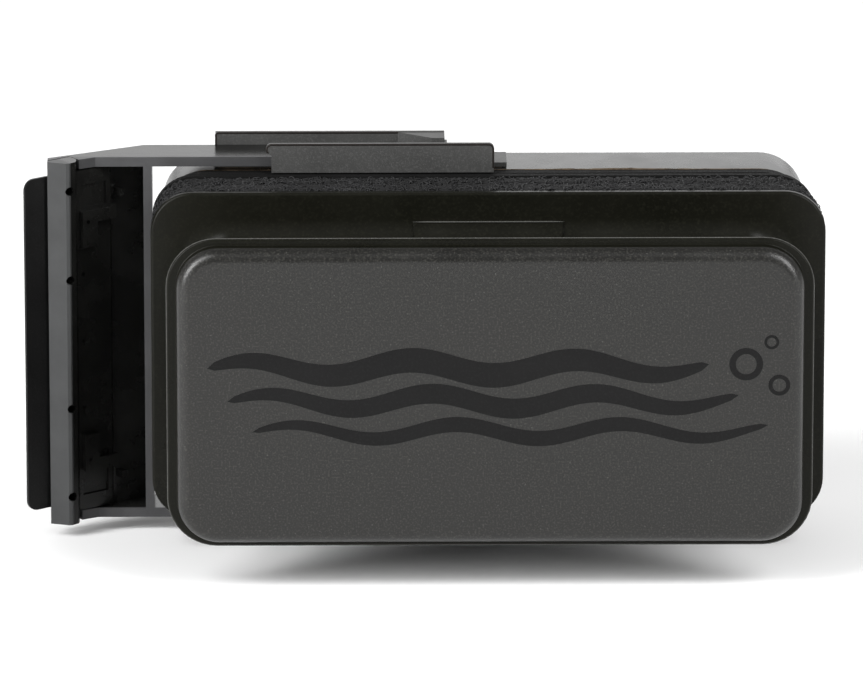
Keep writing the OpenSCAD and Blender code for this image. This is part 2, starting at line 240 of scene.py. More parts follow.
def shade_of(colour, factor):
    """A colour made lighter or darker."""
    return tuple(channel * factor for channel in colour)


def plastic(name, colour, roughness, specular, grain, grain_height,
            mottle=0.12, light_grain=1.9, dust=0.0):
    """Moulded plastic with a spark-eroded grain, slow colour drift and, if asked for, specks of dust.

    mottle is how far the colour drifts, light_grain how much lighter the grain's peaks are and dust
    how strongly the specks show.
    """
    drift_size, dust_spacing = 14 * MM, 1.7 * MM
    mat, tree, shader, coords = start_material(name)
    fine = noise_node(tree, coords, grain, 2.0, 0.5)
    broad = noise_node(tree, coords, drift_size, 4.0)
    base = mix_colour(tree, map_range(tree, broad.outputs["Fac"], 0.35, 0.65, 0, 1),
                      shade_of(colour, 1 - mottle), shade_of(colour, 1 + mottle))
    speckled = mix_colour(tree, map_range(tree, fine.outputs["Fac"], 0.5, 0.75, 0, 0.8),
                          base, shade_of(colour, light_grain))
    if dust:
        cells = tree.nodes.new("ShaderNodeTexVoronoi")
        cells.inputs["Scale"].default_value = 1 / dust_spacing
        tree.links.new(coords, cells.inputs["Vector"])
        speck = map_range(tree, cells.outputs["Distance"], 0.04, 0.1, dust, 0)
        speckled = mix_colour(tree, speck, speckled, (0.35, 0.35, 0.33))
    tree.links.new(speckled, shader.inputs["Base Color"])
    tree.links.new(map_range(tree, broad.outputs["Fac"], 0.3, 0.7, roughness - 0.05, roughness + 0.06),
                   shader.inputs["Roughness"])
    shader.inputs["Specular IOR Level"].default_value = specular
    add_bump(tree, shader, [(fine.outputs["Fac"], grain_height)])
    return mat


def plastic_with_painted_inner_shade(name, outer, inner, axis, edge, roughness, specular):
    """Plastic that is satin on its outer faces and glossier inside, where its mould had a polish, with
    painted shade inside.

    axis is a direction in the part's axes. Past the distance edge along it, in metres, the plastic takes a
    polish and a much darker inner colour, which is painted shade of the recesses.
    """
    mat, tree, shader, coords = start_material(name)
    along = tree.nodes.new("ShaderNodeVectorMath")
    along.operation = "DOT_PRODUCT"
    tree.links.new(coords, along.inputs[0])
    along.inputs[1].default_value = axis
    polish_and_shade_mask = map_range(tree, along.outputs["Value"], edge, edge + 0.3 * MM, 0, 1)
    broad = noise_node(tree, coords, 8 * MM, 4.0)
    fine = noise_node(tree, coords, 0.35 * MM, 2.0)
    drift = map_range(tree, broad.outputs["Fac"], 0.35, 0.65, 0, 1)
    satin = mix_colour(tree, drift, shade_of(outer, 0.9), shade_of(outer, 1.1))
    # painted shade: the inner colour, several times darker than the outer, stands for the shade inside the
    # recesses
    painted_shade_gloss = mix_colour(tree, drift, shade_of(inner, 0.7), shade_of(inner, 1.3))
    tree.links.new(mix_colour(tree, polish_and_shade_mask, satin, painted_shade_gloss), shader.inputs["Base Color"])
    tree.links.new(map_range(tree, polish_and_shade_mask, 0, 1, roughness, 0.6 * roughness), shader.inputs["Roughness"])
    shader.inputs["Specular IOR Level"].default_value = specular
    add_bump(tree, shader, [(fine.outputs["Fac"], 0.004 * MM), (broad.outputs["Fac"], 0.05 * MM)])
    return mat


def fibre(name, colour, highlight, sheen):
    """Matted textile: light fibre tips over a dark ground."""
    mat, tree, shader, coords = start_material(name)
    strands = noise_node(tree, coords, 0.45 * MM, 4.0, 0.7)
    broad = noise_node(tree, coords, 6 * MM, 3.0)
    base = mix_colour(tree, map_range(tree, strands.outputs["Fac"], 0.4, 0.7, 0, 1), colour, highlight)
    tree.links.new(mix_colour(tree, map_range(tree, broad.outputs["Fac"], 0.35, 0.7, 0, 0.5),
                              base, shade_of(colour, 0.6)), shader.inputs["Base Color"])
    tree.links.new(map_range(tree, strands.outputs["Fac"], 0.3, 0.7, 0.98, 0.8),
                   shader.inputs["Roughness"])
    shader.inputs["Specular IOR Level"].default_value = 0.2
    shader.inputs["Sheen Weight"].default_value = sheen
    shader.inputs["Sheen Roughness"].default_value = 0.4
    add_bump(tree, shader, [(strands.outputs["Fac"], 0.12 * MM)])
    return mat


def rubber(name, colour, roughness=0.6):
    """Skinned foam rubber with fine pores."""
    mat, tree, shader, coords = start_material(name)
    pores = tree.nodes.new("ShaderNodeTexVoronoi")
    pores.inputs["Scale"].default_value = 1 / (0.5 * MM)
    tree.links.new(coords, pores.inputs["Vector"])
    broad = noise_node(tree, coords, 9 * MM)
    tree.links.new(mix_colour(tree, map_range(tree, broad.outputs["Fac"], 0.35, 0.65, 0, 1),
                              shade_of(colour, 0.85), shade_of(colour, 1.2)), shader.inputs["Base Color"])
    tree.links.new(map_range(tree, pores.outputs["Distance"], 0.1, 0.6, roughness - 0.1, roughness + 0.1),
                   shader.inputs["Roughness"])
    shader.inputs["Specular IOR Level"].default_value = 0.12
    add_bump(tree, shader, [(pores.outputs["Distance"], 0.03 * MM)])
    return mat


def glue_finish(name):
    """Set amber glue, uneven and glossy."""
    mat, tree, shader, coords = start_material(name)
    drift = noise_node(tree, coords, 3 * MM)
    tree.links.new(mix_colour(tree, map_range(tree, drift.outputs["Fac"], 0.35, 0.7, 0, 1),
                              (0.035, 0.025, 0.016), (0.11, 0.075, 0.045)), shader.inputs["Base Color"])
    tree.links.new(map_range(tree, drift.outputs["Fac"], 0.3, 0.7, 0.2, 0.4), shader.inputs["Roughness"])
    add_bump(tree, shader, [(drift.outputs["Fac"], 0.1 * MM)])
    return mat


def metal(name, colour, roughness, grain):
    """Rolled or sintered metal."""
    mat, tree, shader, coords = start_material(name)
    fine = noise_node(tree, coords, grain)
    tree.links.new(mix_colour(tree, map_range(tree, fine.outputs["Fac"], 0.35, 0.65, 0, 1),
                              shade_of(colour, 0.8), shade_of(colour, 1.15)), shader.inputs["Base Color"])
    tree.links.new(map_range(tree, fine.outputs["Fac"], 0.3, 0.7, roughness - 0.08, roughness + 0.1),
                   shader.inputs["Roughness"])
    shader.inputs["Metallic"].default_value = 1
    add_bump(tree, shader, [(fine.outputs["Fac"], 0.01 * MM)])
    return mat


def foam_finish(name, colour):
    """Closed-cell foam."""
    mat, tree, shader, coords = start_material(name)
    cells = tree.nodes.new("ShaderNodeTexVoronoi")
    cells.inputs["Scale"].default_value = 1 / (1.1 * MM)
    tree.links.new(coords, cells.inputs["Vector"])
    tree.links.new(mix_colour(tree, map_range(tree, cells.outputs["Distance"], 0.1, 0.7, 0, 1),
                              shade_of(colour, 0.75), colour), shader.inputs["Base Color"])
    tree.links.new(map_range(tree, cells.outputs["Distance"], 0.1, 0.7, 0.8, 0.95),
                   shader.inputs["Roughness"])
    add_bump(tree, shader, [(cells.outputs["Distance"], 0.15 * MM)])
    return mat


SMOOTH_BLACK = plastic("smooth_black", (0.0055, 0.0055, 0.0038), 0.3, 0.1, 0.5 * MM, 0.002 * MM)
TEXTURED_BLACK = plastic("textured_black", (0.0055, 0.0053, 0.0046), 0.33, 0.42, 0.4 * MM, 0.045 * MM,
                         light_grain=6, dust=0.1)
WET_BLACK = plastic("wet_black", (0.02, 0.02, 0.0195), 0.27, 0.5, 0.35 * MM, 0.004 * MM)
CLIP_GREY = plastic("clip_grey", (0.0385, 0.0385, 0.0375), 0.45, 0.4, 0.3 * MM, 0.012 * MM)

# Where the scraper's finish changes and its painted shade begins: behind the arms' front edges, and past the
# bar along the blade.
ARM_FRONT = 6.8 * MM
BLADE_TIP = Vector((-94.7, 0.4, 0)) * MM
BLADE_ANGLE = math.radians(37)      # between the blade and the glass
BLADE_DIRECTION = Vector((math.cos(BLADE_ANGLE), math.sin(BLADE_ANGLE), 0))
BAR_WIDTH = 8.2 * MM
# painted shade: the inner colours are far darker than the outer ones, for the shade in the head's recesses
# and behind the bar
SCRAPER_GREY = plastic_with_painted_inner_shade("scraper_grey", (0.042, 0.042, 0.0435), (0.009, 0.009, 0.0085), (0, 1, 0),
                                  ARM_FRONT + 0.3 * MM, 0.38, 0.3)
BAR_GREY = plastic_with_painted_inner_shade("bar_grey", (0.041, 0.042, 0.0425), (0.007, 0.007, 0.0065), BLADE_DIRECTION,
                              BLADE_TIP.dot(BLADE_DIRECTION) + BAR_WIDTH, 0.4, 0.22)
BLADE_BLACK = plastic("blade_black", (0.006, 0.006, 0.006), 0.4, 0.15, 0.4 * MM, 0.004 * MM)
INK = plastic("ink", (0.005, 0.005, 0.005), 0.4, 0.13, 0.5 * MM, 0.004 * MM)
# painted highlight: the ribs' light grey stands for light caught on the patch's top edge and the ridge line
RIB_PAINTED_HIGHLIGHT = plastic("rib_painted_highlight", (0.05, 0.05, 0.046), 0.45, 0.3, 0.4 * MM, 0.002 * MM)
# painted shade: the lips' dark colour stands for shade on the rails' rounded edges
LIP_PAINTED_SHADE = plastic("lip_painted_shade", (0.012, 0.010, 0.009), 0.4, 0.15, 0.4 * MM, 0.002 * MM)
FELT = fibre("felt", (0.004, 0.004, 0.004), (0.02, 0.02, 0.021), 0.02)
SCRUB = fibre("scrub", (0.004, 0.004, 0.004), (0.022, 0.022, 0.023), 0.02)
CURL = plastic("curl", (0.015, 0.015, 0.0155), 0.45, 0.25, 0.3 * MM, 0.01 * MM, mottle=0.5)
BACKING = rubber("backing", (0.0055, 0.0055, 0.0055), 0.65)
GLUE = glue_finish("glue")
MAGNET = metal("magnet", (0.16, 0.16, 0.165), 0.55, 0.6 * MM)
STEEL = metal("steel", (0.55, 0.56, 0.58), 0.32, 1.5 * MM)
FOAM = foam_finish("foam", (0.75, 0.75, 0.7))


# ---------------------------------------------------------------- camera, floor and light

def make_camera():
    """Long lens, looking down by 16 degrees and half a degree to the right."""
    azimuth, elevation, distance = math.radians(-0.55), math.radians(16.0), 2.0
    target = Vector((-11.6, -10.0, 4.0)) * MM
    back = Vector((math.sin(azimuth) * math.cos(elevation),
                   -math.cos(azimuth) * math.cos(elevation), math.sin(elevation)))
    camera = bpy.data.objects.new("camera", bpy.data.cameras.new("camera"))
    camera.data.lens = 408.8
    camera.data.sensor_width = 36
    camera.data.clip_end = 20
    camera.location = target + back * distance
    camera.rotation_mode = "QUATERNION"
    camera.rotation_quaternion = (-back).to_track_quat("-Z", "Y")
    scene.collection.objects.link(camera)
    scene.camera = camera


def make_floor():
    """Plain pale floor that the lowest clip stands on."""
    size = 4.0
    bm = bmesh.new()
    corners = [(-size, -size), (size, -size), (size, size), (-size, size)]
    bm.faces.new([bm.verts.new((x, y, cad_bounds[0].z)) for x, y in corners])
    floor = add_object("floor", bm)
    mat, tree, shader, coords = start_material("floor")
    drift = noise_node(tree, coords, 0.3)
    tree.links.new(mix_colour(tree, drift.outputs["Fac"], (0.93, 0.93, 0.93), (0.95, 0.95, 0.95)),
                   shader.inputs["Base Color"])
    shader.inputs["Roughness"].default_value = 0.9
    shader.inputs["Specular IOR Level"].default_value = 0.1
    paint(floor, mat)


def softbox(name, centre, width, height, power, aim=(0, 0, 0)):
    """Area light at centre that faces the aim point."""
    data = bpy.data.lights.new(name, "AREA")
    data.shape = "RECTANGLE"
    data.size, data.size_y, data.energy = width, height, power
    lamp = bpy.data.objects.new(name, data)
    lamp.location = centre
    lamp.rotation_euler = (Vector(aim) - Vector(centre)).to_track_quat("-Z", "Y").to_euler()
    scene.collection.objects.link(lamp)


def make_light():
    """Dim surroundings, and softboxes behind, left, right and above the front corners."""
    world = bpy.data.worlds.new("world")
    world.use_nodes = True
    world.node_tree.nodes["Background"].inputs["Color"].default_value = (1, 1, 1, 1)
    world.node_tree.nodes["Background"].inputs["Strength"].default_value = 0.32
    scene.world = world
    softbox("top_left", (-0.6, -0.6, 0.95), 0.45, 0.45, 5.5)
    softbox("top_right", (0.6, -0.6, 0.95), 0.45, 0.45, 5)
    softbox("rear", (0.0, 1.6, 0.52), 2.8, 0.9, 9)
    softbox("left", (-1.0, -0.62, 0.5), 0.3, 0.8, 19)
    softbox("right", (1.0, -0.62, 0.6), 0.35, 0.8, 12)


make_camera()
make_floor()
make_light()


# ---------------------------------------------------------------- dry half

SHELL_LOW, SHELL_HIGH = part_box("dry_shell")
FLANGE_W, FLANGE_H = SHELL_HIGH.x, SHELL_HIGH.z
FLANGE_BACK, CAP_Y = SHELL_HIGH.y, SHELL_LOW.y
FLANGE_FACE = FLANGE_BACK - 1.7 * MM
FLANGE_R = 8.5 * MM
FILLET = 5 * MM
WAIST_W, WAIST_H, WAIST_R = FLANGE_W - 11.3 * MM, FLANGE_H - 10.3 * MM, 6 * MM
RIDGE_W, RIDGE_H, RIDGE_R = FLANGE_W - 3.6 * MM, FLANGE_H - 2.5 * MM, 10 * MM
RIDGE_Y = CAP_Y + 4.5 * MM
LEDGE_Y = RIDGE_Y - 0.5 * MM
CAP_W, CAP_H, CAP_R = RIDGE_W - 2 * MM, RIDGE_H - 1.3 * MM, 8.5 * MM
CAP_EDGE = 2.7 * MM
CAP_SMOOTH_BANDS = 4    # bands up the cap's foot and wall, and one of its rounded edge, that are smooth


def quarter_turn(steps):
    """Cosines and sines of even steps through a right angle."""
    angles = [math.pi / 2 * step / steps for step in range(steps + 1)]
    return [(math.cos(a), math.sin(a)) for a in angles]


def inset_ring(y, half_w, half_h, radius, inset, centre_x=0.0):
    """Ring that is smaller all round."""
    return ring(y, half_w - inset, half_h - inset, radius - inset, centre_x)


def dry_outer_rings():
    """Outer surface of the dry shell from the felt forward to the grip's face."""
    edge = 0.6 * MM
    rings = [inset_ring(FLANGE_BACK, FLANGE_W, FLANGE_H, FLANGE_R, 0.2 * MM),
             ring(FLANGE_BACK - 0.2 * MM, FLANGE_W, FLANGE_H, FLANGE_R)]
    for c, s in quarter_turn(5):
        rings.append(inset_ring(FLANGE_FACE + edge * (1 - s), FLANGE_W, FLANGE_H, FLANGE_R, edge * (1 - c)))
    face_w, face_h = WAIST_W + FILLET + 0.2 * MM, WAIST_H + FILLET
    waist_y = FLANGE_FACE - FILLET
    for c, s in quarter_turn(9):
        rings.append(ring(waist_y + FILLET * c, face_w - (face_w - WAIST_W) * s, face_h - FILLET * s,
                          FLANGE_R - (FLANGE_R - WAIST_R) * s))
    run, rise = waist_y - RIDGE_Y, RIDGE_H - WAIST_H
    flare = (run * run + rise * rise) / (2 * rise)
    turn = math.asin(run / flare)
    steps = 16
    for step in range(1, steps + 1):
        angle = turn * step / steps
        share = (1 - math.cos(angle)) / (1 - math.cos(turn))
        rings.append(ring(waist_y - flare * math.sin(angle), WAIST_W + (RIDGE_W - WAIST_W) * share,
                          WAIST_H + rise * share, WAIST_R + (RIDGE_R - WAIST_R) * share))
    lip = 0.42 * MM
    for c, s in quarter_turn(3)[1:]:
        rings.append(inset_ring(RIDGE_Y - (RIDGE_Y - LEDGE_Y) * s, RIDGE_W, RIDGE_H, RIDGE_R, lip * (1 - c)))
    return rings


def dry_cap_rings():
    """The textured cap that stands on the ledge inside the ridge."""
    foot = 0.3 * MM
    rings = [ring(LEDGE_Y, CAP_W + foot, CAP_H + foot, CAP_R + foot),
             ring(LEDGE_Y - foot / 3, CAP_W + foot / 4, CAP_H + foot / 4, CAP_R + foot / 4),
             ring(LEDGE_Y - foot, CAP_W, CAP_H, CAP_R)]
    for c, s in quarter_turn(10):
        rings.append(inset_ring(CAP_Y + CAP_EDGE * (1 - s), CAP_W, CAP_H, CAP_R, CAP_EDGE * (1 - c)))
    rings.append(inset_ring(CAP_Y, CAP_W, CAP_H, CAP_R, CAP_EDGE + 0.8 * MM))
    return rings


def dry_inner_rings():
    """Inside of the dry shell from behind the grip's face back to the felt."""
    wall, seat = 2.5 * MM, 1.5 * MM
    neck_w, neck_h = WAIST_W - wall, WAIST_H - wall
    recess_w, recess_h = FLANGE_W - 9.1 * MM, FLANGE_H - 8.3 * MM
    return [ring(CAP_Y + wall, CAP_W - 4 * MM, CAP_H - 4 * MM, WAIST_R),
            ring(RIDGE_Y + 2 * MM, RIDGE_W - 6 * MM, RIDGE_H - 6 * MM, WAIST_R),
            ring(FLANGE_FACE - FILLET, neck_w, neck_h, WAIST_R - 1.5 * MM),
            ring(FLANGE_BACK - seat, neck_w, neck_h, WAIST_R - 1.5 * MM),
            ring(FLANGE_BACK - seat, recess_w, recess_h, WAIST_R),
            ring(FLANGE_BACK, recess_w, recess_h, WAIST_R)]


def make_dry_shell():
    """Grip shell: smooth flange, waist and ridge, and a spark-textured cap."""
    back, cap = dry_inner_rings() + dry_outer_rings(), dry_cap_rings()
    shell = skin("grip_shell", back + cap, second_from=len(back) + CAP_SMOOTH_BANDS)
    paint(smooth(shell, 50), SMOOTH_BLACK, TEXTURED_BLACK)
    place(shell, "dry_half", "textured_black", "dry_shell")


PATCH_W, PATCH_PROUD = 15.4 * MM, 0.5 * MM
PATCH_FIRST, PATCH_LAST = 9, 76     # angles round the fillet, in degrees


def fillet_point(x, radius, angle):
    """Point at x on a circle round the top fillet's centre."""
    turn = math.radians(angle)
    return Vector((x, FLANGE_FACE - FILLET + radius * math.cos(turn),
                   WAIST_H + FILLET - radius * math.sin(turn)))


def make_label_patch():
    """Plain raised patch that follows the fillet between the flange and the waist."""
    sunk, edge, steps = 0.3 * MM, 0.35 * MM, 14

    def section(x, shrink):
        """Outline across the patch at x, its proud face and then its hidden one."""
        face, back = FILLET - PATCH_PROUD + shrink, FILLET + sunk
        start, sweep = PATCH_FIRST + 4, PATCH_LAST - PATCH_FIRST
        turns = [(face + edge, PATCH_FIRST)]
        turns += [(face, start + (PATCH_LAST - start) * step / steps) for step in range(steps + 1)]
        turns += [(back, PATCH_LAST - sweep * step / steps) for step in range(steps + 1)]
        return [fillet_point(x, radius, angle) for radius, angle in turns]

    sections = [section(-PATCH_W, PATCH_PROUD), section(edge - PATCH_W, 0), section(PATCH_W - edge, 0),
                section(PATCH_W, PATCH_PROUD)]
    patch = paint(smooth(skin("label_patch", sections)), SMOOTH_BLACK)
    place(patch, "dry_half", "textured_black")


make_dry_shell()
make_label_patch()


# ---------------------------------------------------------------- printed motif

PRINT_FRONT = CAP_Y - 0.03 * MM
PRINT_BACK = CAP_Y + 0.02 * MM


def wave_outline(start, end, middle, height, length, thickness):
    """A ribbon that follows a sine wave and tapers to both ends."""
    steps = 72
    upper, lower = [], []
    for step in range(steps + 1):
        share = step / steps
        x = start + (end - start) * share
        z = middle + height * math.sin(2 * math.pi * (x - start) / length)
        half = thickness / 2 * math.sin(math.pi * share) ** 0.35 + 0.02 * MM
        upper.append((x, z + half))
        lower.append((x, z - half))
    return upper + lower[::-1]


def disc_outline(x, z, radius, steps=40):
    """Round outline."""
    return [(x + radius * math.cos(2 * math.pi * i / steps), z + radius * math.sin(2 * math.pi * i / steps))
            for i in range(steps)]


def ring_piece(name, x, z, outer, inner, steps=44):
    """Flat printed ring."""
    bm = bmesh.new()
    loops = []
    for y, radius in ((PRINT_BACK, outer), (PRINT_FRONT, outer), (PRINT_FRONT, inner), (PRINT_BACK, inner)):
        loops.append([bm.verts.new((px, y, pz)) for px, pz in disc_outline(x, z, radius, steps)])
    for first, second in zip(loops, loops[1:] + loops[:1]):
        for i in range(steps):
            k = (i + 1) % steps
            bm.faces.new((first[i], first[k], second[k], second[i]))
    return add_object(name, bm)


def make_print():
    """Generic printed motif of waves and bubbles on the grip's face, in millimetres.

    A wave is its start, end, middle, height, wavelength and thickness, and a bubble its x, z and radius.
    """
    waves = [(-57, 44, 6.4, 1.6, 33.0, 5.2), (-53, 50, -0.6, 1.6, 33.0, 4.2), (-48, 56, -7.0, 1.5, 33.0, 3.2)]
    bubbles = [(51.5, 7.0, 3.4), (58.2, 2.6, 2.2), (56.6, 11.6, 1.5)]
    for number, values in enumerate(waves):
        outline = wave_outline(*(value * MM for value in values))
        piece = paint(prism(f"printed_wave_{number}", outline, PRINT_FRONT, PRINT_BACK), INK)
        place(piece, "dry_half", "textured_black")
    for number, (x, z, radius) in enumerate(bubbles):
        piece = ring_piece(f"printed_bubble_{number}", x * MM, z * MM, radius * MM, 0.62 * radius * MM)
        place(paint(piece, INK), "dry_half", "textured_black")


make_print()


# ---------------------------------------------------------------- wet half

def make_wet_shell():
    """Float shell with a rounded back, hollow inside."""
    centre, half = mean_and_half("wet_shell")
    front, back = centre.y - half.y, centre.y + half.y
    radius, edge, wall = 9.5 * MM, 4.5 * MM, 2 * MM
    size = (half.x, half.z, radius)
    inner = [inset_ring(back - wall, *size, wall + 2 * MM, centre.x),
             inset_ring(back - wall - 2 * MM, *size, wall, centre.x),
             inset_ring(front, *size, wall, centre.x)]
    outer = [inset_ring(front, *size, 0.25 * MM, centre.x),
             inset_ring(front + 0.08 * MM, *size, 0.08 * MM, centre.x),
             inset_ring(front + 0.3 * MM, *size, 0, centre.x)]
    for c, s in quarter_turn(12):
        outer.append(inset_ring(back - edge * (1 - s), *size, edge * (1 - c), centre.x))
    outer.append(inset_ring(back, *size, edge + 1 * MM, centre.x))
    shell = paint(smooth(skin("float_shell", inner + outer), 50), WET_BLACK)
    place(shell, "wet_half", "wet_black", "wet_shell")


make_wet_shell()


# ---------------------------------------------------------------- swept details

def tube(bm, path, radii, sides=6, closed=False):
    """Adds a tube along the path to the bmesh, with a radius at each point."""
    count = len(path)
    rings = []
    for i, point in enumerate(path):
        before = path[i - 1] if closed or i else path[0]
        after = path[(i + 1) % count] if closed or i < count - 1 else path[-1]
        run = (after - before).normalized()
        side = run.cross(Vector((0, 1, 0)) if abs(run.y) < 0.9 else Vector((1, 0, 0))).normalized()
        up = side.cross(run)
        turns = [2 * math.pi * k / sides for k in range(sides)]
        spokes = [math.cos(t) * side + math.sin(t) * up for t in turns]
        rings.append([bm.verts.new(point + radii[i] * spoke) for spoke in spokes])
    pairs = list(zip(rings, rings[1:])) + ([(rings[-1], rings[0])] if closed else [])
    for first, second in pairs:
        for k in range(sides):
            n = (k + 1) % sides
            bm.faces.new((first[k], first[n], second[n], second[k]))
    if not closed:
        bm.faces.new(rings[0][::-1])
        bm.faces.new(rings[-1])


def make_patch_rib():
    """Fine rib along the top of the raised patch, lighter than the patch as a painted highlight on its top
    edge.
    """
    steps, thick = 24, 0.15 * MM
    radius = FILLET - PATCH_PROUD
    path = [fillet_point(PATCH_W * (2 * i / steps - 1), radius, PATCH_FIRST) for i in range(steps + 1)]
    bm = bmesh.new()
    tube(bm, path, [thick * min(1, 0.2 + 0.5 * min(i, steps - i)) for i in range(steps + 1)], sides=8)
    place(paint(smooth(add_object("patch_rib", bm), 60), RIB_PAINTED_HIGHLIGHT), "dry_half", "textured_black")


def make_ridge_rib():
    """Fine bead along the grip's ridge, lighter than the shell as a painted highlight on the ridge line."""
    thick = 0.13 * MM
    path = [Vector(point) for point in fine_ring(RIDGE_Y, RIDGE_W, RIDGE_H, RIDGE_R, 0, 60, 30)]
    bm = bmesh.new()
    tube(bm, path, [thick] * len(path), closed=True)
    place(paint(smooth(add_object("ridge_rib", bm), 60), RIB_PAINTED_HIGHLIGHT), "dry_half", "textured_black")


def make_seam_bead():
    """Glue along the seam between the float shell and its base plate, squeezed out at the top right."""
    centre, half = mean_and_half("wet_shell")
    seam = centre.y - half.y
    path = [Vector(point) for point in fine_ring(seam, half.x, half.z, 9.5 * MM, centre.x, 90, 40)]
    radii = []
    for point in path:
        spill = max(0.0, 1 - abs(point.x - 26 * MM) / (20 * MM)) if point.z > half.z - 1 * MM else 0.0
        wobble = 0.5 + noise.noise(point / (2.2 * MM))
        radii.append((0.11 + 0.03 * wobble + 0.3 * spill * max(0.15, wobble)) * MM)
    bm = bmesh.new()
    tube(bm, path, radii, closed=True)
    place(paint(smooth(add_object("seam_bead", bm), 60), GLUE), "wet_half", "adhesive")


RAIL_LIP = 0.24 * MM        # radius of the lips
RAIL_T = 1.3 * MM
CLIP_BASE_T = 0.9 * MM
FRONT_RAIL_LEN = 45.5 * MM
FRONT_RAIL_RIGHT, FRONT_RAIL_TOP = 1.3 * MM, 41.5 * MM
REAR_RAIL_RIGHT, REAR_RAIL_TOP = -8.7 * MM, 41 * MM


def rail_lip(name, path_xz, y, side):
    """Rounded lip along a clip rail's edge, above or below the middle, darker than the clip as painted shade
    on the edge.
    """
    bm = bmesh.new()
    path = [Vector((x, y, side * z)) for x, z in path_xz]
    tube(bm, path, [RAIL_LIP] * len(path), sides=8)
    place(paint(smooth(add_object(name, bm), 60), LIP_PAINTED_SHADE), "wet_half", "clip_grey")


def make_rail_lips():
    """Lips round the free edges of the front and rear rails of both side clips, darker than the clips as
    painted shade.
    """
    low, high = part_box("upper_side_clip")
    rail_front, base_top = low.y, low.z + CLIP_BASE_T
    left, right, top = FRONT_RAIL_RIGHT - FRONT_RAIL_LEN, FRONT_RAIL_RIGHT, FRONT_RAIL_TOP
    nose, bend, inset = 1.1 * MM, 1.0 * MM, RAIL_LIP * 0.6
    front = [(left + (nose - inset) * math.cos(a), top - nose + (nose - inset) * math.sin(a))
             for a in (math.radians(d) for d in range(230, 89, -20))]
    front += [(right - bend + (bend - inset) * math.cos(a), top - bend + (bend - inset) * math.sin(a))
              for a in (math.radians(d) for d in range(90, -1, -15))]
    front.append((right - inset, base_top))
    rear_y, rear_left = high.y - RAIL_T, low.x + 0.2 * MM
    rear = [(rear_left + inset, base_top), (rear_left + inset, REAR_RAIL_TOP - 3 * inset),
            (rear_left + 3 * inset, REAR_RAIL_TOP - inset),
            (REAR_RAIL_RIGHT - inset, REAR_RAIL_TOP - inset)]
    for word, side in (("upper", 1), ("lower", -1)):
        rail_lip(f"{word}_front_rail_lip", front, rail_front + inset, side)
        rail_lip(f"{word}_rear_rail_lip", rear, rear_y + inset, side)


make_patch_rib()
make_ridge_rib()
make_seam_bead()
make_rail_lips()


# ---------------------------------------------------------------- pads

STRAND = 0.13 * MM      # radius of a curly fibre
MATTING = 0.55 * MM     # how deep the noise sinks a pad's surface
PAD_R = 9 * MM


def pad_body(name, node, body, slot, radius, free_side, finish):
    """Soft pad with a rounded rim and a matted surface, flat on its glued side.

    free_side is the y direction, 1 or -1, of the face that isn't glued.
    """
    centre, half = mean_and_half(node)
    rim, step = 0.9 * MM, 1.25 * MM
    insets = [rim + step * i for i in range(int((half.z - rim) / step))]

    def band(y, inset):
        return fine_ring(y, half.x - inset, half.z - inset, max(radius - inset, 0.4 * MM), centre.x)

    low, high = centre.y - half.y, centre.y + half.y
    rings = [band(low, inset) for inset in insets[::-1]]
    rings += [band(low + rim * (1 - c), rim * (1 - s)) for c, s in quarter_turn(4)[1:]]
    rings += [band(low + rim + (high - low - 2 * rim) * i / 3, 0) for i in (1, 2)]
    rings += [band(high - rim * (1 - c), rim * (1 - s)) for c, s in quarter_turn(4)[:0:-1]]
    rings += [band(high, inset) for inset in insets]
    pad = skin(name, rings)
    sunk = []
    for vertex in pad.data.vertices:
        wave = 0.5 + 0.5 * noise.noise(vertex.co / (1.1 * MM)) + 0.25 * noise.noise(vertex.co / (0.5 * MM))
        glued = vertex.normal.y * free_side < -0.9
        sunk.append(vertex.co - vertex.normal * (0 if glued else wave * MATTING))
    pad.data.vertices.foreach_set("co", [number for point in sunk for number in point])
    smooth(pad, 80)
    place(paint(pad, finish), body, slot, node)


def unit(vectors):
    """Vectors of length one."""
    return vectors / np.linalg.norm(vectors, axis=-1, keepdims=True)


def add_curls(name, body, slot, seed, surface, low, high, count):
    """Curly fibres: each is most of a loop that stands out of the surface, as a thin three-sided tube.

    surface gives origins, outward directions and directions along the surface for the random generator.
    """
    rng = np.random.default_rng(seed)
    origin, out, along = surface(rng, count)
    steps, sides = 9, 3

    def draw(lowest, highest):
        return rng.uniform(lowest, highest, (count, 1))

    heading, lean = draw(0, 2 * math.pi), draw(-0.9, 0.9)
    first = np.cos(heading) * along + np.sin(heading) * np.cross(out, along)
    second = unit(np.cos(lean) * out + np.sin(lean) * np.cross(first, out))
    radius = draw(0.4, 0.72)[:, None] * MM
    share = np.linspace(0, 1, steps)[None, :, None]
    angle = draw(-0.8, 0.4)[:, None] + draw(3.6, 5.4)[:, None] * share
    spoke = np.cos(angle) * first[:, None] + np.sin(angle) * second[:, None]
    axle = unit(np.cross(first, second))[:, None]
    path = origin[:, None] + radius * spoke + axle * draw(-0.5, 0.5)[:, None] * MM * share
    path[..., 1] = np.clip(path[..., 1], low, high)
    turn = (2 * math.pi * np.arange(sides) / sides)[:, None]
    points = path[:, :, None] + STRAND * (np.cos(turn) * spoke[:, :, None] + np.sin(turn) * axle[:, :, None])
    corner = np.arange(count * steps * sides).reshape(count, steps, sides)
    near, far = corner[:, :-1], corner[:, 1:]
    walls = np.stack([near, np.roll(near, -1, 2), np.roll(far, -1, 2), far], -1).reshape(-1, 4)
    caps = np.concatenate([corner[:, 0, ::-1], corner[:, -1]])
    mesh = bpy.data.meshes.new(name)
    mesh.from_pydata(points.reshape(-1, 3), [], walls.tolist() + caps.tolist())
    obj = bpy.data.objects.new(name, mesh)
    scene.collection.objects.link(obj)
    mesh.shade_smooth()
    place(paint(obj, CURL), body, slot)


